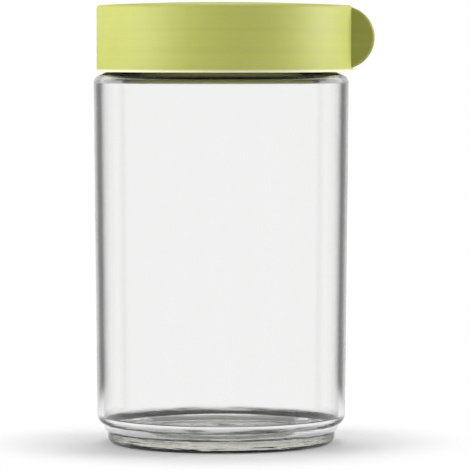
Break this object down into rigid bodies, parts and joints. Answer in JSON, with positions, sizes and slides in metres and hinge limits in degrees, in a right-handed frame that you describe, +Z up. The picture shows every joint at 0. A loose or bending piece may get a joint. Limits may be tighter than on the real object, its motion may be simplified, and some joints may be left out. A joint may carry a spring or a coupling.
{
  "type": "pickle keeper jar with lift strainer",
  "caption": "Straight clear glass storage jar with a stepped foot, a tall green twist lid with an upright round grip tab, and a perforated lift-out strainer cup hung in its mouth under the lid.",
  "frame": {"origin": "centre of the foot, on the plane that the jar stands on", "axes": "+Z up along the jar's axis, +X towards the lid's grip tab, -Y towards the viewer"},
  "size_m": [0.1101, 0.1, 0.1731],
  "materials": {
    "clear_glass": "clear pressed and blown soda-lime glass",
    "lid_green": "satin moulded polypropylene",
    "liner_green": "satin moulded polypropylene",
    "silicone": "matte food-grade silicone",
    "strainer_green": "satin moulded polypropylene",
    "handle_green": "satin moulded polypropylene"
  },
  "bodies": {
    "jar": {"glass_jar": "clear_glass"},
    "strainer": {"strainer_cup": "strainer_green", "strainer_handle": "handle_green"},
    "seal": {"lid_seal": "silicone"},
    "lid": {"lid_shell": "lid_green", "lid_liner": "liner_green", "seal_rib": "liner_green"}
  },
  "joints": [
    {"name": "strainer_lift", "type": "slide", "parent": "jar", "child": "strainer", "axis": [0, 0, 1], "range_m": [0, 0.06]},
    {"name": "lid_lift", "type": "slide", "parent": "strainer", "child": "seal", "axis": [0, 0, 1], "range_m": [0, 0.06]},
    {"name": "lid_turn", "type": "hinge", "parent": "seal", "child": "lid", "pos_m": [0, 0, 0.1683], "axis": [0, 0, 1], "range_deg": [-61.5, 0]}
  ]
}
